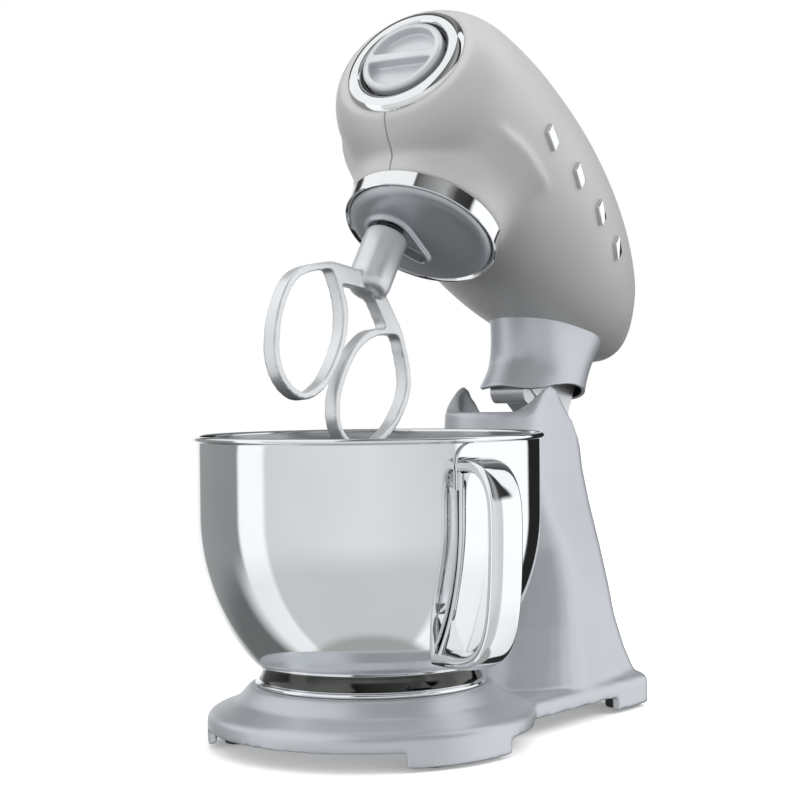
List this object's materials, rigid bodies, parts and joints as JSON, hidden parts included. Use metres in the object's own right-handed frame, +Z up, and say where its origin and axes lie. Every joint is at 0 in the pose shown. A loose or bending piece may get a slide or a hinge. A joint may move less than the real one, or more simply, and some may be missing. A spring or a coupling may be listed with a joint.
{
  "type": "stand mixer",
  "caption": "Tilt-head stand mixer: cast stand, polished bowl with strap handle, egg-shaped head, planetary drive and flat beater.",
  "frame": {"origin": "on the counter, under the bowl's axis", "axes": "+Z up, -Y to the front, +X to the side with the bowl's handle"},
  "size_m": [0.2548, 0.4536, 0.4912],
  "materials": {
    "cast_silver": "satin silver powder coat",
    "head_paint": "fine satin warm grey paint",
    "polished_steel": "mirror polished",
    "bright_chrome": "bright plated",
    "cap_silver": "satin silver",
    "plain_steel": "brushed",
    "cast_aluminium": "fine blasted",
    "motor_copper": "enamelled winding",
    "bronze": "sintered",
    "black_rubber": "matt",
    "black_plastic": "fine texture",
    "gear_nylon": "moulded",
    "board_green": "solder mask"
  },
  "bodies": {
    "stand": {"stand_casting": "cast_silver", "base_plate": "plain_steel", "rubber_feet": "black_rubber", "base_screws": "plain_steel", "bowl_lock_plate": "plain_steel", "lock_plate_screws": "plain_steel", "hinge_bushes": "bronze", "cord_gland": "black_rubber", "latch_guide": "plain_steel", "latch_spring": "plain_steel"},
    "release": {"release_button": "bright_chrome", "latch_bar": "plain_steel"},
    "bowl": {"bowl": "polished_steel", "bowl_foot_ring": "polished_steel", "bowl_handle": "polished_steel"},
    "head": {"head_shell_left": "head_paint", "head_shell_right": "head_paint", "neck_collar": "cast_silver", "hinge_arm": "cast_aluminium", "hinge_pin": "plain_steel", "gearbox_chassis": "cast_aluminium", "chassis_screws": "plain_steel", "front_ring": "bright_chrome", "hub_gap_ring": "black_plastic", "hub_socket": "plain_steel", "side_pips": "bright_chrome", "dish_trim_ring": "bright_chrome", "ring_gear": "plain_steel", "motor_can": "plain_steel", "motor_stator": "motor_copper", "motor_end_cap": "plain_steel", "motor_bearings": "plain_steel", "drive_belt": "black_rubber", "counter_bearings": "plain_steel", "main_bearings": "plain_steel", "power_bearing": "plain_steel", "speed_switch": "black_plastic", "control_board": "board_green", "tail_grille": "black_plastic"},
    "hub_cap": {"hub_cap": "cap_silver"},
    "speed_lever": {"speed_lever": "bright_chrome"},
    "motor": {"motor_rotor": "motor_copper", "motor_shaft": "plain_steel", "motor_fan": "black_plastic", "motor_pulley": "plain_steel"},
    "counter": {"countershaft": "plain_steel", "belt_pulley": "plain_steel", "pinion": "plain_steel"},
    "carrier": {"main_shaft": "plain_steel", "main_gear": "gear_nylon", "main_bevel": "plain_steel", "planet_dish": "cast_silver", "dish_seal_ring": "black_rubber"},
    "planet": {"beater_shaft": "plain_steel", "planet_gear": "plain_steel", "drive_pin": "plain_steel", "sleeve_spring": "plain_steel"},
    "beater": {"beater": "cast_aluminium"},
    "power": {"power_shaft": "plain_steel", "power_bevel": "plain_steel"}
  },
  "joints": [
    {"name": "head_tilt", "type": "hinge", "parent": "stand", "child": "head", "pos_m": [0, 0.225, 0.172], "axis": [1, 0, 0], "range_deg": [0, 35]},
    {"name": "bowl_lift", "type": "slide", "parent": "stand", "child": "bowl", "axis": [0, 0, -1], "range_m": [-0.03, 0]},
    {"name": "release_press", "type": "slide", "parent": "stand", "child": "release", "axis": [0, -1, 0], "range_m": [0, 0.005], "stiffness_N_per_m": 600, "springref_m": -0.002, "deforming": ["latch_spring"]},
    {"name": "hub_cap_pull", "type": "slide", "parent": "head", "child": "hub_cap", "axis": [0, -0.8192, 0.5736], "range_m": [0, 0.02]},
    {"name": "speed_slide", "type": "slide", "parent": "head", "child": "speed_lever", "axis": [0, 0.7193, -0.6947], "range_m": [0, 0.036]},
    {"name": "carrier_spin", "type": "hinge", "parent": "head", "child": "carrier", "pos_m": [0, 0.06363, 0.33382], "axis": [0, 0.5736, 0.8192], "continuous": true},
    {"name": "planet_spin", "type": "hinge", "parent": "carrier", "child": "planet", "pos_m": [-0.01903, 0.05636, 0.33891], "axis": [0, 0.5736, 0.8192], "continuous": true},
    {"name": "beater_pull", "type": "slide", "parent": "planet", "child": "beater", "axis": [0, 0.5736, 0.8192], "range_m": [-0.02, 0]},
    {"name": "counter_spin", "type": "hinge", "parent": "head", "child": "counter", "pos_m": [0, 0.1352, 0.34231], "axis": [0, 0.5736, 0.8192], "continuous": true},
    {"name": "motor_spin", "type": "hinge", "parent": "head", "child": "motor", "pos_m": [0, 0.23678, 0.32001], "axis": [0, 0.5736, 0.8192], "continuous": true},
    {"name": "power_spin", "type": "hinge", "parent": "head", "child": "power", "pos_m": [0, 0.08134, 0.42885], "axis": [0, 0.8192, -0.5736], "continuous": true}
  ],
  "couplings": [
    {"joint": "planet_spin", "follows": "carrier_spin", "ratio": -3},
    {"joint": "counter_spin", "follows": "carrier_spin", "ratio": -5.1429},
    {"joint": "motor_spin", "follows": "carrier_spin", "ratio": -21.857},
    {"joint": "power_spin", "follows": "carrier_spin", "ratio": -1}
  ]
}
